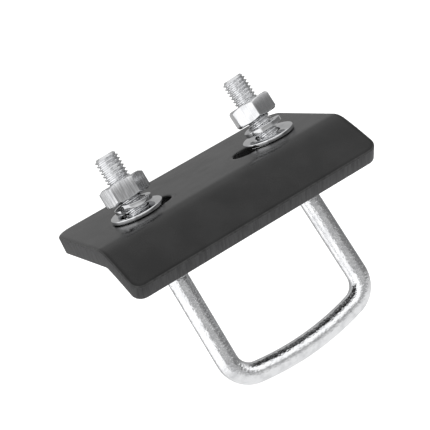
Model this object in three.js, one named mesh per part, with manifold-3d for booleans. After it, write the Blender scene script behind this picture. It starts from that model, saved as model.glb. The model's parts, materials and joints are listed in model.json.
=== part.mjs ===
// Clamp: a bent plate with two slots, drawn onto a U-bolt by two hex nuts over spring and flat washers.
// Millimetres, +Z up along the U-bolt's legs, +X along the plate, +Y towards the plate's back edge.
// The origin is on the plate's underside, midway between the legs.
import * as THREE from 'three';
import { mergeVertices } from 'three/addons/utils/BufferGeometryUtils.js';
import Module from 'manifold-3d';

const wasm = await Module();
wasm.setup();

const DEG = Math.PI / 180;

// U-bolt
const ROD_DIAMETER = 9;
const LEG_SPACING = 64.2;
const LEG_LEAN_DEG = 1.2;
const STUD_HEIGHT = 34.9;
const STUD_CHAMFER = 0.8;
const BASE_DROP = 71.9;
const BASE_CURVE_RADIUS = 125;
const CORNER_RADIUS = 10.5;
const ROD_SIDES = 16;
const ROD_STEPS = 110;

// Plate, with a slot for each leg
const PLATE_THICKNESS = 7.5;
const PLATE_OFFSET = -2.2;
const PLATE_ROCK_DEG = 2.3;
const BACK_SLOPE_DEG = 13.2;
const BACK_REACH = 39.5;
const BEND_REACH = 16.2;
const BEND_RADIUS = 14;
const BEND_ANGLE_DEG = 31.8;
const FLANGE_LENGTH = 20.6;
const FLANGE_CURL_DEG = 7;
const BACK_CORNER_ROUND = 8;
const FRONT_CORNER_ROUND = 4.5;
const SLOT_LENGTH = 25.3;
const SLOT_SIDE_CLEARANCE = 0.6;
const SLOT_END_CLEARANCE = 2.1;
const END_MARGIN = 15.2;

// Nuts and washers
const NUT_ACROSS_FLATS = 17;
const NUT_HEIGHT = 8;
const NUT_CHAMFER_DEG = 30;
const NUT_FACE_INSET = 0.4;
const NUT_CLEARANCE = 0.6;
const FLAT_WIDTH = 5.5;
const FLAT_THICKNESS = 1.6;
const FLAT_CLEARANCE = 1;
const SPRING_WIDTH = 2.7;
const SPRING_THICKNESS = 2.1;
const SPRING_CLEARANCE = 0.8;
const SPRING_GAP_DEG = 16;
const SPRING_RISE_POWER = 6;
const SEAT_GAP = 0.3;

// What differs from side to side: the free height and lean of the spring washer, the way its split
// faces, and the turn of the nut, both counted about the leg from the front towards the left
const SIDES = [
  { name: 'left', sign: -1, nutTurnDeg: 15.8, springRise: 1.6, springLeanDeg: 9.5, splitDeg: 46 },
  { name: 'right', sign: 1, nutTurnDeg: 43.1, springRise: 1.2, springLeanDeg: 3, splitDeg: 150 },
];

const ROD_RADIUS = ROD_DIAMETER / 2;
const SPRING_RADIUS = ROD_RADIUS + SPRING_CLEARANCE + SPRING_WIDTH;
const UP = new THREE.Vector3(0, 0, 1);

// An upright leg crosses the sloping plate through a slot that is square to it
const SLOT_RADIUS = (ROD_RADIUS + (PLATE_THICKNESS / 2) * Math.sin(BACK_SLOPE_DEG * DEG)) /
  Math.cos(BACK_SLOPE_DEG * DEG) + SLOT_SIDE_CLEARANCE;
const SLOT_OUTER_END = LEG_SPACING / 2 + Math.abs(PLATE_OFFSET) + ROD_RADIUS + SLOT_END_CLEARANCE;
const PLATE_LENGTH = 2 * (SLOT_OUTER_END + END_MARGIN);

const zinc = new THREE.MeshStandardMaterial({ color: 0xd4d6d8, roughness: 0.22, metalness: 1 });
const blackCoat = new THREE.MeshStandardMaterial({ color: 0x303132, roughness: 0.42, metalness: 0 });

// --- solids ---

function toSolid(geometry) {
  const bare = geometry.clone();
  bare.deleteAttribute('normal');
  bare.deleteAttribute('uv');
  const merged = mergeVertices(bare, 1e-4);
  return new wasm.Manifold(new wasm.Mesh({
    numProp: 3,
    vertProperties: new Float32Array(merged.attributes.position.array),
    triVerts: new Uint32Array(merged.index.array),
  }));
}

function toGeometry(solid) {
  const mesh = solid.getMesh();
  const geometry = new THREE.BufferGeometry();
  geometry.setAttribute('position', new THREE.BufferAttribute(mesh.vertProperties, 3));
  geometry.setIndex(new THREE.BufferAttribute(mesh.triVerts, 1));
  geometry.computeVertexNormals();
  return geometry;
}

function ringShape(outerRadius, innerRadius) {
  const shape = new THREE.Shape().absarc(0, 0, outerRadius, 0, 2 * Math.PI);
  shape.holes.push(new THREE.Path().absarc(0, 0, innerRadius, 0, 2 * Math.PI, true));
  return shape;
}

// --- U-bolt ---

// An arc in the XZ plane, its angles counted from +X towards +Z
class UprightArc extends THREE.Curve {
  constructor(centreX, centreZ, radius, startAngle, endAngle) {
    super();
    Object.assign(this, { centreX, centreZ, radius, startAngle, endAngle });
  }

  getPoint(t, target = new THREE.Vector3()) {
    const angle = THREE.MathUtils.lerp(this.startAngle, this.endAngle, t);
    const x = this.centreX + this.radius * Math.cos(angle);
    const z = this.centreZ + this.radius * Math.sin(angle);
    return target.set(x, 0, z);
  }
}

// The unit direction of a leg, towards its top, on the side given by sign
function legDirection(sign) {
  const lean = LEG_LEAN_DEG * DEG;
  return new THREE.Vector3(-sign * Math.sin(lean), 0, Math.cos(lean));
}

// The point of a leg's axis at a height above the plate's underside
function legPoint(sign, height) {
  return new THREE.Vector3(sign * (LEG_SPACING / 2 - height * Math.tan(LEG_LEAN_DEG * DEG)), 0, height);
}

// The centre of the right-hand corner arc: CORNER_RADIUS inside the leg, and tangent to the base's arc
function cornerCentre() {
  const baseCentre = new THREE.Vector3(0, 0, BASE_CURVE_RADIUS - BASE_DROP);
  const down = legDirection(1).negate();
  const inward = new THREE.Vector3(-Math.cos(LEG_LEAN_DEG * DEG), 0, -Math.sin(LEG_LEAN_DEG * DEG));
  const start = legPoint(1, 0).addScaledVector(inward, CORNER_RADIUS).sub(baseCentre);
  const half = start.dot(down);
  const reach = BASE_CURVE_RADIUS - CORNER_RADIUS;
  const along = -half + Math.sqrt(half * half - start.lengthSq() + reach * reach);
  return start.addScaledVector(down, along).add(baseCentre);
}

function makeUBolt() {
  const lean = LEG_LEAN_DEG * DEG;
  const corner = cornerCentre();
  const baseCentreZ = BASE_CURVE_RADIUS - BASE_DROP;
  const baseEnd = Math.atan2(corner.z - baseCentreZ, corner.x);
  const outward = new THREE.Vector3(Math.cos(lean), 0, Math.sin(lean));
  const legEnd = corner.clone().addScaledVector(outward, CORNER_RADIUS);
  const mirrored = (point) => new THREE.Vector3(-point.x, point.y, point.z);
  const top = legPoint(1, STUD_HEIGHT);

  const axis = new THREE.CurvePath();
  axis.add(new THREE.LineCurve3(mirrored(top), mirrored(legEnd)));
  axis.add(new UprightArc(-corner.x, corner.z, CORNER_RADIUS, Math.PI - lean, Math.PI - baseEnd));
  axis.add(new UprightArc(0, baseCentreZ, BASE_CURVE_RADIUS, -Math.PI - baseEnd, baseEnd));
  axis.add(new UprightArc(corner.x, corner.z, CORNER_RADIUS, baseEnd, lean));
  axis.add(new THREE.LineCurve3(legEnd, top));

  const section = new THREE.Shape().absarc(0, 0, ROD_RADIUS, 0, 2 * Math.PI);
  const rod = toSolid(new THREE.ExtrudeGeometry(section, {
    steps: ROD_STEPS, curveSegments: ROD_SIDES / 2, extrudePath: axis,
  }));
  return toGeometry([-1, 1].reduce((solid, sign) => solid.subtract(endChamferCutter(sign)), rod));
}

// A collar that takes the sharp edge off a stud's end
function endChamferCutter(sign) {
  const over = ROD_RADIUS / 2;
  const endRadius = ROD_RADIUS - STUD_CHAMFER;
  const profile = [
    new THREE.Vector2(endRadius, 0),
    new THREE.Vector2(ROD_RADIUS + over, -STUD_CHAMFER - over),
    new THREE.Vector2(ROD_RADIUS + over, over),
    new THREE.Vector2(endRadius, over),
    new THREE.Vector2(endRadius, 0),
  ];
  const collar = new THREE.LatheGeometry(profile, 2 * ROD_SIDES);
  collar.rotateX(Math.PI / 2);
  collar.applyQuaternion(new THREE.Quaternion().setFromUnitVectors(UP, legDirection(sign)));
  const top = legPoint(sign, STUD_HEIGHT);
  collar.translate(top.x, top.y, top.z);
  return toSolid(collar);
}

// --- plate ---

// The plate's top line in the YZ plane, from the back edge to the front edge, with its outward normals
function plateTopLine() {
  const backSlope = BACK_SLOPE_DEG * DEG;
  const seatNormal = new THREE.Vector2(-Math.sin(backSlope), Math.cos(backSlope));
  const along = new THREE.Vector2(-Math.cos(backSlope), -Math.sin(backSlope));
  const seatTop = seatNormal.clone().multiplyScalar(PLATE_THICKNESS);
  const line = [
    { point: seatTop.clone().addScaledVector(along, -BACK_REACH), slope: backSlope },
    { point: seatTop.clone().addScaledVector(along, BEND_REACH), slope: backSlope },
  ];
  const addArc = (radius, angle, steps) => {
    const start = line[line.length - 1];
    const centre = start.point.clone().addScaledVector(topNormal(start.slope), -radius);
    for (let i = 1; i <= steps; i += 1) {
      const slope = start.slope + (angle * i) / steps;
      line.push({ point: centre.clone().addScaledVector(topNormal(slope), radius), slope });
    }
  };
  addArc(BEND_RADIUS, BEND_ANGLE_DEG * DEG, 6);
  addArc(FLANGE_LENGTH / (FLANGE_CURL_DEG * DEG), FLANGE_CURL_DEG * DEG, 4);
  return line;
}

function topNormal(slope) {
  return new THREE.Vector2(-Math.sin(slope), Math.cos(slope));
}

// What a square corner loses when it is rounded, standing at the shape's origin, its body in x, y > 0
function cornerWasteShape(radius) {
  const over = radius / 2;
  const shape = new THREE.Shape();
  shape.moveTo(-over, -over);
  shape.lineTo(radius, -over);
  shape.lineTo(radius, 0);
  shape.absarc(radius, radius, radius, -Math.PI / 2, Math.PI, true);
  shape.lineTo(-over, radius);
  shape.closePath();
  return shape;
}

function slotShape() {
  const outer = SLOT_OUTER_END - SLOT_RADIUS;
  const inner = SLOT_OUTER_END - SLOT_LENGTH + SLOT_RADIUS;
  const shape = new THREE.Shape();
  shape.absarc(outer, 0, SLOT_RADIUS, -Math.PI / 2, Math.PI / 2);
  shape.absarc(inner, 0, SLOT_RADIUS, Math.PI / 2, (3 * Math.PI) / 2);
  shape.closePath();
  return shape;
}

// A cutter through the plate, square to its top at a slope: shape (x, y) goes along the plate and down
// the slope towards the front, mirrored along the plate where sign is -1
function plateCutter(shape, sign, origin, slope, towardsFront) {
  const deep = 3 * PLATE_THICKNESS;
  const normal = topNormal(slope);
  const across = new THREE.Vector3(sign, 0, 0);
  const down = new THREE.Vector3(0, -Math.cos(slope), -Math.sin(slope)).multiplyScalar(towardsFront ? 1 : -1);
  const up = new THREE.Vector3(0, normal.x, normal.y);
  const cutter = new THREE.ExtrudeGeometry(shape, { depth: deep, bevelEnabled: false, curveSegments: 8 });
  cutter.translate(0, 0, -deep / 2);
  const matrix = new THREE.Matrix4().makeBasis(across, down, up);
  cutter.applyMatrix4(matrix);
  if (matrix.determinant() < 0) flipFaces(cutter);
  cutter.translate(origin.x, origin.y, origin.z);
  return toSolid(cutter);
}

function flipFaces(geometry) {
  const { array } = geometry.attributes.position;
  for (let i = 0; i < array.length; i += 9) {
    for (let axis = 0; axis < 3; axis += 1) {
      [array[i + axis], array[i + 3 + axis]] = [array[i + 3 + axis], array[i + axis]];
    }
  }
}

function makePlate() {
  const line = plateTopLine();
  const top = line.map(({ point }) => point);
  const under = line.map(({ point, slope }) =>
    point.clone().addScaledVector(topNormal(slope), -PLATE_THICKNESS));
  const outline = new THREE.Shape([...top, ...under.reverse()]);
  const profile = new THREE.ExtrudeGeometry(outline, { depth: PLATE_LENGTH, bevelEnabled: false });
  profile.applyMatrix4(new THREE.Matrix4().makeBasis(
    new THREE.Vector3(0, 1, 0), new THREE.Vector3(0, 0, 1), new THREE.Vector3(1, 0, 0)));
  profile.translate(-PLATE_LENGTH / 2, 0, 0);

  let plate = toSolid(profile);
  const [back, front] = [line[0], line[line.length - 1]];
  const seatMiddle = new THREE.Vector3(0, 0, (PLATE_THICKNESS / 2) / Math.cos(back.slope));
  for (const sign of [-1, 1]) {
    const end = (sign * PLATE_LENGTH) / 2;
    const backCorner = new THREE.Vector3(end, back.point.x, back.point.y);
    const frontCorner = new THREE.Vector3(end, front.point.x, front.point.y);
    const backWaste = cornerWasteShape(BACK_CORNER_ROUND);
    const frontWaste = cornerWasteShape(FRONT_CORNER_ROUND);
    plate = plate.subtract(plateCutter(backWaste, -sign, backCorner, back.slope, true));
    plate = plate.subtract(plateCutter(frontWaste, -sign, frontCorner, front.slope, false));
    plate = plate.subtract(plateCutter(slotShape(), sign, seatMiddle, back.slope, true));
  }
  return toGeometry(plate);
}

// --- nuts and washers ---

function makeNut() {
  const corner = NUT_ACROSS_FLATS / 2 / Math.cos(30 * DEG);
  const hexagon = new THREE.Shape();
  for (let i = 0; i < 6; i += 1) {
    const angle = i * 60 * DEG;
    const place = [corner * Math.cos(angle), corner * Math.sin(angle)];
    if (i === 0) hexagon.moveTo(...place);
    else hexagon.lineTo(...place);
  }
  hexagon.closePath();
  hexagon.holes.push(new THREE.Path().absarc(0, 0, ROD_RADIUS + NUT_CLEARANCE, 0, 2 * Math.PI, true));
  const prism = new THREE.ExtrudeGeometry(hexagon, {
    depth: NUT_HEIGHT, bevelEnabled: false, curveSegments: 12,
  });

  const face = NUT_ACROSS_FLATS / 2 - NUT_FACE_INSET;
  const wide = 2 * corner - face;
  const drop = (wide - face) * Math.tan(NUT_CHAMFER_DEG * DEG);
  const envelope = new THREE.LatheGeometry([
    new THREE.Vector2(0, 0),
    new THREE.Vector2(face, 0),
    new THREE.Vector2(wide, drop),
    new THREE.Vector2(wide, NUT_HEIGHT - drop),
    new THREE.Vector2(face, NUT_HEIGHT),
    new THREE.Vector2(0, NUT_HEIGHT),
  ], 36);
  envelope.rotateX(Math.PI / 2);
  return toGeometry(toSolid(prism).intersect(toSolid(envelope)));
}

function makeFlatWasher() {
  const bore = ROD_RADIUS + FLAT_CLEARANCE;
  const shape = ringShape(bore + FLAT_WIDTH, bore);
  const ring = new THREE.ExtrudeGeometry(shape, {
    depth: FLAT_THICKNESS, bevelEnabled: false, curveSegments: 18,
  });
  return ring.translate(0, 0, -FLAT_THICKNESS / 2);
}

// A split ring: its end at angle 0 stands rise above the rest, which flattens out round the ring
function makeSpringWasher(rise) {
  const turn = (360 - SPRING_GAP_DEG) * DEG;
  const shape = new THREE.Shape();
  shape.absarc(0, 0, SPRING_RADIUS, 0, turn);
  shape.absarc(0, 0, ROD_RADIUS + SPRING_CLEARANCE, turn, 0, true);
  shape.closePath();
  const ring = new THREE.ExtrudeGeometry(shape, {
    depth: SPRING_THICKNESS, bevelEnabled: false, curveSegments: 24,
  });
  const position = ring.attributes.position;
  for (let i = 0; i < position.count; i += 1) {
    const angle = Math.atan2(position.getY(i), position.getX(i));
    const round = angle < -1e-4 ? angle + 2 * Math.PI : Math.max(angle, 0);
    const lift = rise * (1 - round / turn) ** SPRING_RISE_POWER;
    position.setZ(i, position.getZ(i) + lift);
  }
  return ring;
}

// --- assembly ---

const clamp = new THREE.Group();

function place(name, geometry, material, position, axis, turnDeg = 0) {
  const mesh = new THREE.Mesh(geometry, material.clone());
  mesh.name = name;
  mesh.position.copy(position);
  mesh.quaternion.setFromUnitVectors(UP, axis);
  mesh.quaternion.multiply(new THREE.Quaternion().setFromAxisAngle(UP, turnDeg * DEG));
  clamp.add(mesh);
  return mesh;
}

place('u_bolt', makeUBolt(), zinc, new THREE.Vector3(), UP);

const rock = new THREE.Quaternion().setFromAxisAngle(new THREE.Vector3(0, 1, 0), PLATE_ROCK_DEG * DEG);
const plate = place('clamp_plate', makePlate(), blackCoat, new THREE.Vector3(), UP);
plate.quaternion.copy(rock);
plate.position.set(PLATE_OFFSET, 0, 0).applyQuaternion(rock);

const seatNormal = new THREE.Vector3(0, -Math.sin(BACK_SLOPE_DEG * DEG), Math.cos(BACK_SLOPE_DEG * DEG))
  .applyQuaternion(rock);

// The point of a leg's axis that is a distance above the plate's underside, square to it
function pointAbovePlate(sign, distance) {
  const base = legPoint(sign, 0);
  const direction = legDirection(sign);
  const along = (distance - base.dot(seatNormal)) / direction.dot(seatNormal);
  return base.addScaledVector(direction, along);
}

// Where a side's spring washer lies: on the back of the flat washer, leaning about X
function springSeat({ sign, springLeanDeg, springRise, splitDeg }) {
  const lean = springLeanDeg * DEG;
  const axis = legDirection(sign).applyAxisAngle(new THREE.Vector3(1, 0, 0), lean);
  const flatTop = PLATE_THICKNESS + FLAT_THICKNESS + 2 * SEAT_GAP;
  const base = pointAbovePlate(sign, flatTop + SPRING_RADIUS * Math.sin(axis.angleTo(seatNormal)));
  const backTop = SPRING_THICKNESS * Math.cos(lean) + SPRING_RADIUS * Math.sin(lean);
  const endTop = (SPRING_THICKNESS + springRise) * Math.cos(lean)
    - SPRING_RADIUS * Math.sin(lean) * Math.cos(splitDeg * DEG);
  return { base, axis, topHeight: base.z + Math.max(backTop, endTop) };
}

const nutBaseHeight = Math.max(...SIDES.map((side) => springSeat(side).topHeight)) + SEAT_GAP;

for (const side of SIDES) {
  const { name, sign, nutTurnDeg, springRise, splitDeg } = side;
  const flatMiddle = pointAbovePlate(sign, PLATE_THICKNESS + SEAT_GAP + FLAT_THICKNESS / 2);
  place(`flat_washer_${name}`, makeFlatWasher(), zinc, flatMiddle, seatNormal);

  const { base, axis } = springSeat(side);
  place(`spring_washer_${name}`, makeSpringWasher(springRise), zinc, base, axis, -90 - splitDeg);

  place(`hex_nut_${name}`, makeNut(), zinc, legPoint(sign, nutBaseHeight), legDirection(sign), -nutTurnDeg);
}

export default clamp;
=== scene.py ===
import json
from math import atan2, ceil, cos, pi, radians, sin, sqrt, tan

import bmesh
import bpy
from mathutils import Matrix, Vector
from mathutils.geometry import delaunay_2d_cdt


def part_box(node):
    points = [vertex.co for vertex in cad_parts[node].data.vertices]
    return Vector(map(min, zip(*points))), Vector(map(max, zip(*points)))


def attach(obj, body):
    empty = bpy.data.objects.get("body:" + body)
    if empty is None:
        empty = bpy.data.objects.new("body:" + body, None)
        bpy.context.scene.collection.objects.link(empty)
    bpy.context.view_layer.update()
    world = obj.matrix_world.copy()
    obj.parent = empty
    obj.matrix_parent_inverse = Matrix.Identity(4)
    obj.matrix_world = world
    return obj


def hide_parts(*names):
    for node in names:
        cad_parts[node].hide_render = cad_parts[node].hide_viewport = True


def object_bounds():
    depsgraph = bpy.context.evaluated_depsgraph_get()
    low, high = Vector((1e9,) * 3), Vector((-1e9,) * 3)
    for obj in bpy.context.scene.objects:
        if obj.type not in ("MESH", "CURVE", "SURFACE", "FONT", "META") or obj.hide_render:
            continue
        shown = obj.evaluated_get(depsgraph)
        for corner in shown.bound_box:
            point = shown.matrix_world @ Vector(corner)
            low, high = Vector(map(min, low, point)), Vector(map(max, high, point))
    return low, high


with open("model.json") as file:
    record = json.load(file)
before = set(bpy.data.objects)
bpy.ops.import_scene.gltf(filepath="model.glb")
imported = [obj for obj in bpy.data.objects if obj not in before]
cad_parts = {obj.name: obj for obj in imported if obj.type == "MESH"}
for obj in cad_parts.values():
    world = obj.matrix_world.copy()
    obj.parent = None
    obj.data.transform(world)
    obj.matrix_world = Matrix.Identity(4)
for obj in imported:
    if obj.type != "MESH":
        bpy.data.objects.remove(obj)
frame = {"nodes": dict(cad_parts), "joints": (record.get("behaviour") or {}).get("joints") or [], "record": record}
cad_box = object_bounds()

# Meshes are built in millimetres, each in its piece's own frame, and scaled when they are placed.
MM = 0.001
UP = Vector((0, 0, 1))
BACK = Vector((0, 1, 0))

# Camera: what it aims at, from where, and how far it is rolled
AIM = Vector((-5.57, 0, -8.0)) * MM
CAMERA_DISTANCE = 501.9 * MM
CAMERA_AZIMUTH = radians(18.63)
CAMERA_ELEVATION = radians(3.32)
CAMERA_ROLL = radians(31.82)
CAMERA_LENS = 105.5

# U-bolt
ROD_RADIUS = 4.5
CORNER_RADIUS = 10.5
BASE_CURVE_RADIUS = 125
THREAD_PITCH = 1.5
THREAD_CREST = 4.9
THREAD_ROOT = 4.1
THREAD_CREST_FLAT = 0.2
THREAD_FLANK = 0.66
THREAD_EASE = 0.35
THREAD_LENGTH = 47
THREAD_RUN_OUT = 4
STUD_END_RADIUS = 3.75
THREAD_PHASES = (0, 0.12, 0.18, 0.27, 0.36, 0.42, 0.5, 0.58, 0.64, 0.73, 0.82, 0.88)
ROUND_SIDES = 64
LEG_STEPS = 12
CORNER_STEPS = 28
BASE_STEPS = 30

# Plate: straight back flange, bend, and a slightly curled front flange, all measured on its top
PLATE_THICKNESS = 7.5
BACK_SLOPE = radians(13.2)
BACK_REACH = 39.5
BEND_REACH = 16.2
BEND_RADIUS = 14
BEND_ANGLE = radians(31.8)
FLANGE_LENGTH = 20.6
FLANGE_CURL = radians(7)
BACK_CORNER_ROUND = 8
FRONT_CORNER_ROUND = 4.5
SLOT_RADIUS = 6.1
SLOT_LENGTH = 25.3
END_MARGIN = 15.2
TOP_EDGE_ROUND = 0.7
UNDER_EDGE_ROUND = 0.35
RIM_WIDTH = 2
FILL_STEP = 2.2
EDGE_STEP = 1.6

# Nuts and washers
NUT_ACROSS_FLATS = 17
NUT_HEIGHT = 8
NUT_FACE_RADIUS = 8.1
NUT_CHAMFER = radians(30)
NUT_BORE = 5.36
NUT_THREAD_DEPTH = 0.5
NUT_MOUTH = 5.75
NUT_MOUTH_DEPTH = 1.2
NUT_BORE_STEPS = 40
NUT_CORNER_ROUND = 0.5
FLAT_RADIUS = 11
FLAT_BORE = 5.5
FLAT_THICKNESS = 1.6
SPRING_RADIUS = 8
SPRING_BORE = 5.6
SPRING_THICKNESS = 2.1
SPRING_GAP = radians(16)
SPRING_RISE_POWER = 6
SPRING_STEPS = 120
# On each side: how far the nut and the split are turned, how far the spring washer's end rises, and
# the nut's marks (darkest tone, depth)
SIDES = {
    "left": {"turn": radians(15.8), "split": radians(46), "rise": 1.6, "nut_marks": (0.74, 0.06)},
    "right": {"turn": radians(43.1), "split": radians(150), "rise": 1.2, "nut_marks": (0.96, 0.01)},
}


# --- mesh helpers ---


def rounded(corners, steps=4, closed=False):
    """A line through 2D corners (x, y, radius), each turned through an arc of its radius."""
    line = []
    count = len(corners)
    for i, (x, y, radius) in enumerate(corners):
        corner = Vector((x, y))
        if radius == 0 or (not closed and i in (0, count - 1)):
            line.append(corner)
            continue
        before = (Vector(corners[i - 1][:2]) - corner).normalized()
        after = (Vector(corners[(i + 1) % count][:2]) - corner).normalized()
        half = before.angle(after) / 2
        centre = corner + (before + after).normalized() * (radius / sin(half))
        start = corner + before * (radius / tan(half)) - centre
        sweep = start.angle_signed(corner + after * (radius / tan(half)) - centre)
        line += [centre + Matrix.Rotation(-sweep * k / steps, 2) @ start for k in range(steps + 1)]
    return line


def skin(bm, rings, wrap=False, closed=True):
    """Faces between neighbouring rings of points; wrap joins the last ring to the first."""
    rows = [[bm.verts.new(point) for point in ring] for ring in rings]
    pairs = list(zip(rows, rows[1:] + rows[:1] if wrap else rows[1:]))
    for a, b in pairs:
        for i in range(len(a) if closed else len(a) - 1):
            j = (i + 1) % len(a)
            bm.faces.new((a[i], a[j], b[j], b[i]))
    return rows


def turned(bm, profile, sides=2 * ROUND_SIDES):
    """A ring about Z from a closed profile of (radius, height)."""
    rings = []
    for k in range(sides):
        angle = 2 * pi * k / sides
        rings.append([Vector((r * cos(angle), r * sin(angle), z)) for r, z in profile])
    skin(bm, rings, wrap=True)


def placed(bm, name, node, matrix, materials, sharp=radians(40)):
    """Turns the mesh into the piece that stands for a CAD node, riding on that node's body."""
    bmesh.ops.remove_doubles(bm, verts=bm.verts, dist=1e-4)
    bmesh.ops.dissolve_degenerate(bm, edges=bm.edges, dist=1e-5)
    bmesh.ops.recalc_face_normals(bm, faces=bm.faces)
    for face in bm.faces:
        face.smooth = True
    for edge in bm.edges:
        edge.smooth = len(edge.link_faces) == 2 and edge.calc_face_angle() < sharp
    bmesh.ops.scale(bm, vec=Vector((MM, MM, MM)), verts=bm.verts)
    mesh = bpy.data.meshes.new(name)
    bm.to_mesh(mesh)
    bm.free()
    for material in materials:
        mesh.materials.append(material)
    piece = bpy.data.objects.new(name, mesh)
    bpy.context.scene.collection.objects.link(piece)
    piece.matrix_world = matrix
    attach(piece, body_of_node(node))
    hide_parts(node)
    return piece


def body_of_node(node):
    bodies = frame["record"]["behaviour"]["bodies"]
    return next(body for body, members in bodies.items() if node in members)


def joint(name):
    """Where a joint stands at rest, in metres, and its axis."""
    found = next(j for j in frame["joints"] if j["name"] == name)
    return Vector(found["pos_m"]), Vector(found["axis"]).normalized()


def standing(position, axis, turn=0.0):
    """A frame at position with Z along axis, then turned about it."""
    lean = UP.rotation_difference(axis).to_matrix().to_4x4()
    return Matrix.Translation(position) @ lean @ Matrix.Rotation(turn, 4, "Z")


# --- materials ---


class Shader:
    """A material's node tree, with one method for each kind of node that the materials share."""

    def __init__(self, name, colour, metallic, roughness):
        self.material = bpy.data.materials.new(name)
        self.material.use_nodes = True
        self.tree = self.material.node_tree
        self.surface = self.tree.nodes["Principled BSDF"]
        self.surface.inputs["Base Color"].default_value = (*colour, 1)
        self.surface.inputs["Metallic"].default_value = metallic
        self.surface.inputs["Roughness"].default_value = roughness
        self.place = self.tree.nodes.new("ShaderNodeTexCoord").outputs["Object"]

    def link(self, output, target):
        self.tree.links.new(output, target)

    def attribute(self, name):
        node = self.tree.nodes.new("ShaderNodeAttribute")
        node.attribute_name = name
        return node.outputs["Vector"]

    def noise(self, per_mm, detail=3.0, stretch=(1, 1, 1), source=None):
        """Noise with a number of blobs per millimetre, finer along the axes that stretch names."""
        scale = self.tree.nodes.new("ShaderNodeMapping")
        scale.inputs["Scale"].default_value = [per_mm / MM * s for s in stretch]
        node = self.tree.nodes.new("ShaderNodeTexNoise")
        node.inputs["Scale"].default_value = 1
        node.inputs["Detail"].default_value = detail
        self.link(source or self.place, scale.inputs["Vector"])
        self.link(scale.outputs["Vector"], node.inputs["Vector"])
        return node.outputs["Fac"]

    def spread(self, value, low, high, start=0.35, end=0.65):
        """Maps a value from start..end to low..high."""
        node = self.tree.nodes.new("ShaderNodeMapRange")
        for key, number in (("From Min", start), ("From Max", end), ("To Min", low), ("To Max", high)):
            node.inputs[key].default_value = number
        self.link(value, node.inputs["Value"])
        return node.outputs["Result"]

    def part(self, vector, axis):
        node = self.tree.nodes.new("ShaderNodeSeparateXYZ")
        self.link(vector, node.inputs["Vector"])
        return node.outputs[axis]

    def blend(self, factor, first, second):
        node = self.tree.nodes.new("ShaderNodeMix")
        node.data_type = "RGBA"
        node.inputs["A"].default_value = (*first, 1)
        node.inputs["B"].default_value = (*second, 1)
        self.link(factor, node.inputs["Factor"])
        return node.outputs["Result"]

    def shade(self, colour, level):
        node = self.tree.nodes.new("ShaderNodeVectorMath")
        node.operation = "SCALE"
        self.link(colour, node.inputs["Vector"])
        self.link(level, node.inputs["Scale"])
        return node.outputs["Vector"]

    def math(self, operation, a, b):
        node = self.tree.nodes.new("ShaderNodeMath")
        node.operation = operation
        for value, target in zip((a, b), node.inputs):
            if isinstance(value, (int, float)):
                target.default_value = value
            else:
                self.link(value, target)
        return node.outputs["Value"]

    def colour(self, output):
        self.link(output, self.surface.inputs["Base Color"])

    def roughness(self, output):
        self.link(output, self.surface.inputs["Roughness"])

    def bump(self, height, depth_mm):
        """Raises the surface by depth_mm where height is 1, on top of any bump that is there."""
        node = self.tree.nodes.new("ShaderNodeBump")
        node.inputs["Strength"].default_value = 1
        node.inputs["Distance"].default_value = depth_mm * MM
        self.link(height, node.inputs["Height"])
        normal = self.surface.inputs["Normal"]
        if normal.is_linked:
            self.link(normal.links[0].from_socket, node.inputs["Normal"])
        self.link(node.outputs["Normal"], normal)


EDGE_WEAR = 0.05
SHEARED_DARK = (0.009, 0.009, 0.010)
SHEARED_LIGHT = (0.032, 0.032, 0.033)
ZINC_LIGHT = (0.73, 0.735, 0.745)
ZINC_DARK = (0.58, 0.585, 0.6)


def zinc(name, tone=1.0, rough=(0.04, 0.1), lumps=(0.5, 0.01), mottle=None):
    """Bright zinc plating, dulled in patches: lumps are (blobs per mm, height). A mottle is
    (marks per mm, stretch, darkest tone, depth), for metal that the plating doesn't level out."""
    shader = Shader(name, ZINC_LIGHT, 1, rough[0])
    cloud = shader.noise(0.22, detail=4)
    light, dark = ([tone * level for level in colour] for colour in (ZINC_LIGHT, ZINC_DARK))
    colour = shader.blend(shader.spread(cloud, 0, 1, 0.45, 0.75), light, dark)
    shader.roughness(shader.spread(cloud, *rough))
    shader.bump(shader.noise(lumps[0], detail=3), lumps[1])
    shader.bump(shader.spread(shader.noise(4, detail=2), 0, 1, 0.62, 0.78), 0.003)
    if mottle:
        per_mm, stretch, darkest, depth = mottle
        marks = shader.noise(per_mm, detail=4, stretch=stretch)
        shader.bump(marks, depth)
        colour = shader.shade(colour, shader.spread(marks, darkest, 1.08, 0.36, 0.62))
    shader.colour(colour)
    return shader.material


def black_coat():
    """Satin black coating over plate: a fine orange peel, duller patches, and thin matt edges."""
    shader = Shader("black_coating", (0.01, 0.01, 0.011), 0, 0.25)
    cloud = shader.noise(0.08, detail=5)
    rim = shader.part(shader.attribute("edge_run"), "Z")
    worn = shader.math("MULTIPLY", shader.spread(rim, 0, 1, 1.0, 1.15), shader.noise(0.7, detail=4))
    dusty = shader.spread(cloud, 0.007, 0.013)
    shader.colour(shader.math("ADD", dusty, shader.math("MULTIPLY", worn, EDGE_WEAR)))
    shader.roughness(shader.spread(cloud, 0.18, 0.27))
    shine = shader.spread(rim, 0.3, 0.16, 0, 1)
    shader.link(shine, shader.surface.inputs["Specular IOR Level"])
    shader.bump(shader.noise(2.4, detail=3), 0.008)
    shader.bump(shader.noise(0.12, detail=2), 0.08)
    return shader.material


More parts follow.
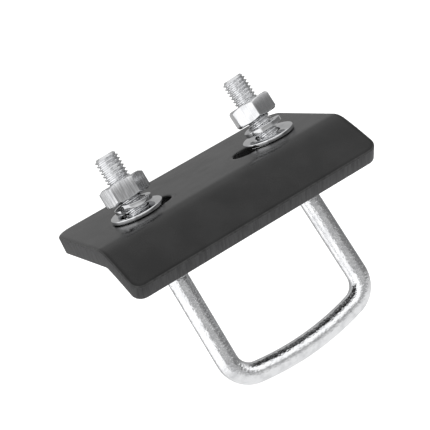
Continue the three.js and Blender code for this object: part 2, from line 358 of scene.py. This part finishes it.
def sheared_edge():
    """The coated cut edge: streaks through the thickness, where the shear dragged the steel."""
    shader = Shader("sheared_edge", (0.02, 0.02, 0.021), 0, 0.4)
    shader.surface.inputs["Specular IOR Level"].default_value = 0.25
    run = shader.attribute("edge_run")
    streaks = shader.noise(1.1, detail=4, stretch=(1, 0.09, 1), source=run)
    fine = shader.noise(4, detail=2, stretch=(1, 0.12, 1), source=run)
    shader.colour(shader.blend(shader.spread(streaks, 0, 1), SHEARED_DARK, SHEARED_LIGHT))
    shader.roughness(shader.spread(streaks, 0.28, 0.45))
    shader.bump(streaks, 0.12)
    shader.bump(fine, 0.03)
    return shader.material


# --- U-bolt ---


def leg_line(side):
    """A leg's point level with the seat, in millimetres, and its direction towards the stud's end."""
    position, axis = joint(f"nut_{side}_spin")
    point = position / MM
    return point - axis * (point.z / axis.z), axis


def thread_radius(turn):
    """The thread's radius at a phase of its helix, in turns from a crest."""
    away = abs(turn - round(turn)) * 2
    flank = min(max((away - THREAD_CREST_FLAT) / THREAD_FLANK, 0), 1)
    eased = 0.5 - 0.5 * cos(pi * flank)
    depth = (1 - THREAD_EASE) * flank + THREAD_EASE * eased
    return THREAD_CREST + (THREAD_ROOT - THREAD_CREST) * depth


def stud_radius(height, angle, bottom, top):
    """The stud's radius: a thread that fades into the rod below and is chamfered at the end."""
    share = min(max((height - bottom) / THREAD_RUN_OUT, 0), 1)
    thread = thread_radius(height / THREAD_PITCH - angle / (2 * pi))
    return min(ROD_RADIUS + (thread - ROD_RADIUS) * share, STUD_END_RADIUS + (top - height))


def add_stud(bm, start, axis, bottom, top):
    """A threaded stud about its leg's line. Its rows of points follow the helix for crisp crests."""
    across = BACK.cross(axis)
    per_turn = len(THREAD_PHASES)
    first = int(bottom / THREAD_PITCH) - 2
    last = int(top / THREAD_PITCH) + 2
    rows = []
    for row in range(first * per_turn, last * per_turn):
        turns = row // per_turn + THREAD_PHASES[row % per_turn]
        points = []
        for k in range(ROUND_SIDES):
            angle = 2 * pi * k / ROUND_SIDES
            height = min(max(THREAD_PITCH * (turns + k / ROUND_SIDES), bottom), top)
            radius = stud_radius(height, angle, bottom, top)
            out = across * cos(angle) + BACK * sin(angle)
            points.append(bm.verts.new(start + axis * height + out * radius))
        rows.append(points)
    for row, (a, b) in enumerate(zip(rows, rows[1:])):
        for k in range(ROUND_SIDES - 1):
            bm.faces.new((a[k], a[k + 1], b[k + 1], b[k]))
        if row + 1 + per_turn < len(rows):
            c, d = rows[row + per_turn], rows[row + 1 + per_turn]
            bm.faces.new((a[-1], c[0], d[0], b[-1]))
    bm.faces.new(rows[-1])


def rod_line(bottom):
    """The rod's centre points and tangents, from under the left stud round to under the right one."""
    right, axis = leg_line("right")
    lean = atan2(-axis.x, axis.z)
    low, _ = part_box("u_bolt")
    base_centre = Vector((0, 0, low.z / MM + ROD_RADIUS + BASE_CURVE_RADIUS))
    inward = Vector((-cos(lean), 0, -sin(lean)))
    start = right + inward * CORNER_RADIUS - base_centre
    half = start.dot(-axis)
    reach = BASE_CURVE_RADIUS - CORNER_RADIUS
    drop = sqrt(half * half - start.length_squared + reach * reach) - half
    corner = start - axis * drop + base_centre
    leg_end = corner - inward * CORNER_RADIUS
    base_angle = atan2(corner.z - base_centre.z, corner.x)

    stations = []
    straight = right + axis * bottom
    for k in range(LEG_STEPS):
        stations.append((leg_end.lerp(straight, 1 - k / LEG_STEPS), -axis))
    for k in range(CORNER_STEPS):
        angle = lean + (base_angle - lean) * k / CORNER_STEPS
        out = Vector((cos(angle), 0, sin(angle)))
        stations.append((corner + out * CORNER_RADIUS, Vector((sin(angle), 0, -cos(angle)))))
    for k in range(BASE_STEPS + 1):
        angle = base_angle + (-pi / 2 - base_angle) * k / BASE_STEPS
        out = Vector((cos(angle), 0, sin(angle)))
        stations.append((base_centre + out * BASE_CURVE_RADIUS, Vector((sin(angle), 0, -cos(angle)))))
    mirror = Matrix.Scale(-1, 3, Vector((1, 0, 0)))
    other = [(mirror @ point, -(mirror @ tangent)) for point, tangent in stations[:-1]]
    return stations + other[::-1]


def make_u_bolt():
    bm = bmesh.new()
    _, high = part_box("u_bolt")
    for side in SIDES:
        start, axis = leg_line(side)
        top = (high.z / MM - STUD_END_RADIUS * abs(axis.x)) / axis.z
        add_stud(bm, start, axis, top - THREAD_LENGTH, top)
    rings = []
    for point, tangent in rod_line(top - THREAD_LENGTH):
        side_way = BACK.cross(tangent)
        angles = [2 * pi * k / ROUND_SIDES for k in range(ROUND_SIDES)]
        rings.append([point + (side_way * cos(a) + BACK * sin(a)) * ROD_RADIUS for a in angles])
    skin(bm, rings)
    material = zinc("zinc_rod", rough=(0.05, 0.1), lumps=(1.0, 0.22))
    placed(bm, "u_bolt_rod", "u_bolt", Matrix.Identity(4), [material])


# --- plate ---


def plate_frame():
    """The plate's own frame in the row frame, its origin on the seat, and its reach along X."""
    mount = next(m for m in frame["record"]["mounts"] if m["name"] == "bar_seat")
    normal = -Vector(mount["axis"]).normalized()
    along = BACK.cross(normal).normalized()
    turn = Matrix((along, BACK, along.cross(BACK))).transposed()
    reach = [along.dot(v.co) for v in frame["nodes"]["clamp_plate"].data.vertices]
    centre = (min(reach) + max(reach)) / 2
    matrix = Matrix.Translation(Vector(mount["pos_m"]) + along * centre) @ turn.to_4x4()
    return matrix, (max(reach) - min(reach)) / 2 / MM


def bent(run, level):
    """(y, z) of a point of the plate, run along its top from the back and level above its underside."""
    flange_radius = FLANGE_LENGTH / FLANGE_CURL
    slope = BACK_SLOPE
    normal = Vector((-sin(slope), cos(slope)))
    forward = Vector((-cos(slope), -sin(slope)))
    point = normal * PLATE_THICKNESS - forward * BACK_REACH
    straight = min(run, BACK_REACH + BEND_REACH)
    point += forward * straight
    run -= straight
    for radius, sweep in ((BEND_RADIUS, BEND_ANGLE), (flange_radius, FLANGE_CURL)):
        part = min(run / radius, sweep)
        centre = point - normal * radius
        slope += part
        normal = Vector((-sin(slope), cos(slope)))
        point = centre + normal * radius
        run -= part * radius
    forward = Vector((-cos(slope), -sin(slope)))
    return point + forward * run + normal * (level - PLATE_THICKNESS)


def rounded_box(low, high, radii, side=1):
    """Points and normals round a box with rounded corners, from its low corner round through +X."""
    quadrants = ((-1, -1), (1, -1), (1, 1), (-1, 1))
    arcs = []
    for k, ((across, up), radius) in enumerate(zip(quadrants, radii)):
        corner = Vector((high.x if across > 0 else low.x, high.y if up > 0 else low.y))
        centre = corner - Vector((across, up)) * radius
        steps = ceil(radius * pi / 2)
        angles = [pi + (k + i / steps) * pi / 2 for i in range(steps + 1)]
        normals = [Vector((cos(a), sin(a))) for a in angles]
        arcs.append([(centre + normal * radius, normal) for normal in normals])
    path = []
    for arc, after in zip(arcs, arcs[1:] + arcs[:1]):
        path += arc
        tail, normal = arc[-1]
        head = after[0][0]
        pieces = round((head - tail).length / EDGE_STEP)
        if pieces == 0:
            path.pop()
        path += [(tail.lerp(head, k / pieces), normal) for k in range(1, pieces)]
    return [(point, normal * side) for point, normal in path]


def box_distance(spot, low, high, radii):
    """How far a point lies outside a box with rounded corners; negative inside it."""
    middle = (low + high) / 2
    radius = radii[0] if spot.y < middle.y else radii[2]
    off = spot - middle
    away = Vector((abs(off.x) + radius, abs(off.y) + radius)) - (high - low) / 2
    outside = Vector((max(away.x, 0), max(away.y, 0))).length
    return outside + min(max(away), 0) - radius


def make_plate():
    matrix, half_length = plate_frame()
    run_end = BACK_REACH + BEND_REACH + BEND_RADIUS * BEND_ANGLE + FLANGE_LENGTH
    corner_rounds = (BACK_CORNER_ROUND, BACK_CORNER_ROUND, FRONT_CORNER_ROUND, FRONT_CORNER_ROUND)
    blank = (Vector((-half_length, 0)), Vector((half_length, run_end)), corner_rounds)
    slot_run = BACK_REACH - PLATE_THICKNESS / 2 * tan(BACK_SLOPE)
    slots = []
    for sign in (-1, 1):
        ends = sorted(sign * (half_length - END_MARGIN - reach) for reach in (0, SLOT_LENGTH))
        low, high = (Vector((x, slot_run + y)) for x, y in zip(ends, (-SLOT_RADIUS, SLOT_RADIUS)))
        slots.append((low, high, [SLOT_RADIUS] * 4))
    paths = [rounded_box(*blank)] + [rounded_box(*slot, side=-1) for slot in slots]

    def on_metal(spot, margin):
        clear = min(box_distance(spot, *slot) for slot in slots)
        return box_distance(spot, *blank) < -margin and clear > margin

    profile = rounded([(RIM_WIDTH, 0, 0), (0, 0, UNDER_EDGE_ROUND),
                       (0, PLATE_THICKNESS, TOP_EDGE_ROUND), (RIM_WIDTH, PLATE_THICKNESS, 0)], steps=5)
    bm = bmesh.new()
    run_layer = bm.verts.layers.float_vector.new("edge_run")

    def vertex(x, run, level, edge_run=0, rim=0):
        y, z = bent(run, level)
        made = bm.verts.new((x, y, z))
        made[run_layer] = (edge_run * MM, level * MM, rim)
        return made

    under, top, flat_points, rims = [], [], [], []
    for path in paths:
        walked = [0.0]
        for (a, _), (b, _) in zip(path, path[1:]):
            walked.append(walked[-1] + (b - a).length)
        rows = []
        for inset, level in profile:
            rim = (RIM_WIDTH - inset) / (RIM_WIDTH - TOP_EDGE_ROUND) if path is paths[0] else 0
            points = [point - normal * inset for point, normal in path]
            rows.append([vertex(*point, level, run, rim) for point, run in zip(points, walked)])
        for i, (a, b) in enumerate(zip(rows, rows[1:])):
            cut = profile[i].x < RIM_WIDTH * 0.05 and profile[i + 1].x < RIM_WIDTH * 0.05
            for k in range(len(a)):
                j = (k + 1) % len(a)
                face = bm.faces.new((a[k], a[j], b[j], b[k]))
                face.material_index = 1 if cut and path is paths[0] else 0
        rims.append(range(len(flat_points), len(flat_points) + len(path)))
        flat_points += [point - normal * RIM_WIDTH for point, normal in path]
        under += rows[0]
        top += rows[-1]

    edges = [(rim[k - 1], rim[k]) for rim in rims for k in range(len(rim))]
    inside = []
    for i in range(1, ceil(2 * half_length / FILL_STEP)):
        for k in range(1, ceil(run_end / FILL_STEP)):
            spot = Vector((-half_length + i * FILL_STEP, k * FILL_STEP))
            if on_metal(spot, RIM_WIDTH + FILL_STEP * 0.45):
                inside.append(spot)
    for spot in inside:
        under.append(vertex(*spot, 0))
        top.append(vertex(*spot, PLATE_THICKNESS))
    points, _, triangles, origins, _, _ = delaunay_2d_cdt(flat_points + inside, edges, [], 0, 1e-5)
    for triangle in triangles:
        middle = sum((points[i] for i in triangle), Vector((0, 0))) / len(triangle)
        if not on_metal(middle, RIM_WIDTH * 0.9):
            continue
        corners = [origins[i][0] for i in triangle]
        bm.faces.new([top[i] for i in corners])
        bm.faces.new([under[i] for i in reversed(corners)])
    placed(bm, "plate", "clamp_plate", matrix, [black_coat(), sheared_edge()])


# --- nuts and washers ---


def hex_radius(angle):
    """The distance to a hexagon's side with its corners rounded, corners at whole sixths of a turn."""
    flat = NUT_ACROSS_FLATS / 2
    off_corner = (angle + pi / 6) % (pi / 3) - pi / 6
    side = flat / cos(pi / 6 - abs(off_corner))
    centre = (flat - NUT_CORNER_ROUND) / cos(pi / 6)
    across = centre * sin(off_corner)
    if abs(across) >= NUT_CORNER_ROUND:
        return side
    return min(side, centre * cos(off_corner) + sqrt(NUT_CORNER_ROUND ** 2 - across ** 2))


def nut_angles():
    """Angles round a nut, closer together near its corners."""
    angles = []
    for sixth in range(6):
        for k in range(-10, 10):
            share = k / 10
            angles.append((sixth + 0.5 * share * abs(share) ** 0.6) * pi / 3)
    return angles


def make_nut(side):
    rings = []
    for angle in nut_angles():
        edge = hex_radius(angle)
        drop = (edge - NUT_FACE_RADIUS) * tan(NUT_CHAMFER)
        outside = rounded([
            (NUT_BORE, NUT_MOUTH_DEPTH, 0),
            (NUT_MOUTH, 0, 0.1),
            (NUT_FACE_RADIUS, 0, 0.3),
            (edge, drop, 0.22),
            (edge, NUT_HEIGHT - drop, 0.22),
            (NUT_FACE_RADIUS, NUT_HEIGHT, 0.3),
            (NUT_MOUTH, NUT_HEIGHT, 0.1),
            (NUT_BORE, NUT_HEIGHT - NUT_MOUTH_DEPTH, 0),
        ], steps=3)
        bore = bore_line(angle)
        rings.append([Vector((r * cos(angle), r * sin(angle), z)) for r, z in (*outside, *bore)])
    bm = bmesh.new()
    skin(bm, rings, wrap=True)
    position, axis = joint(f"nut_{side}_spin")
    matrix = standing(position, axis, -SIDES[side]["turn"])
    mottle = (1.3, (1, 1, 0.12), *SIDES[side]["nut_marks"])
    material = zinc(f"zinc_nut_{side}", tone=0.93, rough=(0.1, 0.18), mottle=mottle)
    placed(bm, f"nut_{side}", f"hex_nut_{side}", matrix, [material])


def bore_line(angle):
    """The threaded bore at an angle, from the top down, between its two mouths."""
    high = NUT_HEIGHT - NUT_MOUTH_DEPTH
    line = []
    for k in range(1, NUT_BORE_STEPS):
        z = high + (NUT_MOUTH_DEPTH - high) * k / NUT_BORE_STEPS
        turn = z / THREAD_PITCH - angle / (2 * pi)
        groove = 0.5 + 0.5 * cos(2 * pi * turn)
        ease = min(1, k / 4, (NUT_BORE_STEPS - k) / 4)
        line.append(Vector((NUT_BORE + NUT_THREAD_DEPTH * groove * ease, z)))
    return line


def make_flat_washer(side):
    half = FLAT_THICKNESS / 2
    profile = rounded([
        (FLAT_BORE, -half, 0.12), (FLAT_RADIUS, -half, 0.18),
        (FLAT_RADIUS, half, 0.3), (FLAT_BORE, half, 0.25),
    ], steps=5, closed=True)
    bm = bmesh.new()
    turned(bm, profile)
    matrix = standing(*joint(f"flat_washer_{side}_spin"))
    material = zinc(f"zinc_washer_{side}", lumps=(0.25, 0.06))
    placed(bm, f"washer_{side}", f"flat_washer_{side}", matrix, [material])


def make_spring_washer(side):
    """A split ring whose end beside the split stands up from the rest."""
    rise = SIDES[side]["rise"]
    turn = 2 * pi - SPRING_GAP
    section = rounded([
        (SPRING_BORE, 0, 0.2), (SPRING_RADIUS, 0, 0.25),
        (SPRING_RADIUS, SPRING_THICKNESS, 0.25), (SPRING_BORE, SPRING_THICKNESS, 0.2),
    ], steps=4, closed=True)
    rings = []
    for k in range(SPRING_STEPS + 1):
        share = k / SPRING_STEPS
        lift = rise * (1 - share) ** SPRING_RISE_POWER
        angle = turn * share
        rings.append([Vector((r * cos(angle), r * sin(angle), z + lift)) for r, z in section])
    bm = bmesh.new()
    rows = skin(bm, rings)
    bm.faces.new(rows[0])
    bm.faces.new(rows[-1])
    position, axis = joint(f"spring_washer_{side}_spin")
    matrix = standing(position, axis, -pi / 2 - SIDES[side]["split"])
    # The darker tone is partly the duller plating on spring steel and partly painted shade where the ring sits
    # between the nut and the flat washer.
    material = zinc(f"zinc_spring_{side}", tone=0.85, lumps=(0.5, 0.03))
    placed(bm, f"spring_{side}", f"spring_washer_{side}", matrix, [material])


# --- stage ---


FLOOR_REACH = 8
FLOOR_GLOW = 0.45


def lowest_draw():
    """How far below its place at rest the U-bolt can be drawn, so that the floor is under all of it."""
    joints = frame["record"]["behaviour"]["joints"]
    return next(j for j in joints if j["name"] == "u_bolt_draw")["range_m"][0]


def make_floor():
    low, _ = cad_box
    level = low.z + lowest_draw()
    mesh = bpy.data.meshes.new("floor")
    corners = [(x * FLOOR_REACH, y * FLOOR_REACH) for x, y in ((-1, -1), (1, -1), (1, 1), (-1, 1))]
    mesh.from_pydata([(x, y, level) for x, y in corners], [], [(0, 1, 2, 3)])
    floor = bpy.data.objects.new("floor", mesh)
    bpy.context.scene.collection.objects.link(floor)
    shader = Shader("pale_floor", (0.9, 0.9, 0.9), 0, 0.9)
    shader.surface.inputs["Emission Color"].default_value = (1, 1, 1, 1)
    shader.surface.inputs["Emission Strength"].default_value = FLOOR_GLOW
    mesh.materials.append(shader.material)
    floor.visible_glossy = False


# The studio's light. An area is (its middle, in degrees from the front towards the left, its half
# width, its soft edge, its brightness).
SOFT_BOX = (88, 42, 14, 1.5)
DARK_FLAG = (-80, 38, 16, 0.22)
HIGH_LIGHT = (20, 80, 50, 1.5)
ROOM_LIGHT = 0.5
HIGH_ROOM_LIGHT = 0.46
OVERHEAD_LIGHT = 1.0
FLOOR_LIGHT = 1.05
BACKGROUND = 1.3
# Where one light fades into the next, by the height of a direction from -1 straight down to 1 straight up
FLOOR_TO_LEVEL = (-0.6, -0.1)
LEVEL_TO_HIGH = (0.04, 0.32)
HIGH_TO_OVERHEAD = (0.6, 0.95)


def make_studio():
    """A soft box on the left, another high in front, a dark flag on the right, a white background."""
    world = bpy.data.worlds.new("studio")
    bpy.context.scene.world = world
    world.use_nodes = True
    nodes, link = world.node_tree.nodes, world.node_tree.links.new

    def math(operation, *values):
        node = nodes.new("ShaderNodeMath")
        node.operation = operation
        for value, target in zip(values, node.inputs):
            if isinstance(value, (int, float)):
                target.default_value = value
            else:
                link(value, target)
        return node.outputs["Value"]

    def fade(first, second, value, start, end):
        """Goes from the first light to the second as a value goes from start to end."""
        share = nodes.new("ShaderNodeMapRange")
        share.interpolation_type = "SMOOTHSTEP"
        share.inputs["From Min"].default_value = start
        share.inputs["From Max"].default_value = end
        link(value, share.inputs["Value"])
        change = math("MULTIPLY", math("SUBTRACT", second, first), share.outputs["Result"])
        return math("ADD", first, change)

    def with_area(light, middle, half_width, soft, bright):
        off = math("ABSOLUTE", math("SUBTRACT", turn, middle))
        return fade(bright, light, off, half_width, half_width + soft)

    split = nodes.new("ShaderNodeSeparateXYZ")
    link(nodes.new("ShaderNodeTexCoord").outputs["Generated"], split.inputs["Vector"])
    left, front = math("MULTIPLY", split.outputs["X"], -1), math("MULTIPLY", split.outputs["Y"], -1)
    turn = math("MULTIPLY", math("ARCTAN2", left, front), 180 / pi)
    height = split.outputs["Z"]
    level = with_area(with_area(ROOM_LIGHT, *SOFT_BOX), *DARK_FLAG)
    light = fade(level, with_area(HIGH_ROOM_LIGHT, *HIGH_LIGHT), height, *LEVEL_TO_HIGH)
    light = fade(light, OVERHEAD_LIGHT, height, *HIGH_TO_OVERHEAD)
    light = fade(FLOOR_LIGHT, light, height, *FLOOR_TO_LEVEL)
    seen = nodes.new("ShaderNodeLightPath").outputs["Is Camera Ray"]
    shown = math("ADD", light, math("MULTIPLY", math("SUBTRACT", BACKGROUND, light), seen))
    link(shown, nodes["Background"].inputs["Strength"])
    nodes["Background"].inputs["Color"].default_value = (1, 1, 1, 1)


def make_camera():
    forward = Vector((
        sin(CAMERA_AZIMUTH) * cos(CAMERA_ELEVATION),
        cos(CAMERA_AZIMUTH) * cos(CAMERA_ELEVATION),
        -sin(CAMERA_ELEVATION),
    ))
    level = Vector((cos(CAMERA_AZIMUTH), -sin(CAMERA_AZIMUTH), 0))
    down = forward.cross(level)
    right = level * cos(CAMERA_ROLL) + down * sin(CAMERA_ROLL)
    turn = Matrix((right, right.cross(forward), -forward)).transposed()
    data = bpy.data.cameras.new("camera")
    data.lens = CAMERA_LENS
    camera = bpy.data.objects.new("camera", data)
    bpy.context.scene.collection.objects.link(camera)
    camera.matrix_world = Matrix.Translation(AIM - forward * CAMERA_DISTANCE) @ turn.to_4x4()
    bpy.context.scene.camera = camera


make_camera()
make_studio()
make_floor()
bpy.context.scene.view_settings.view_transform = "Standard"

make_u_bolt()
make_plate()
for side in SIDES:
    make_flat_washer(side)
    make_spring_washer(side)
    make_nut(side)
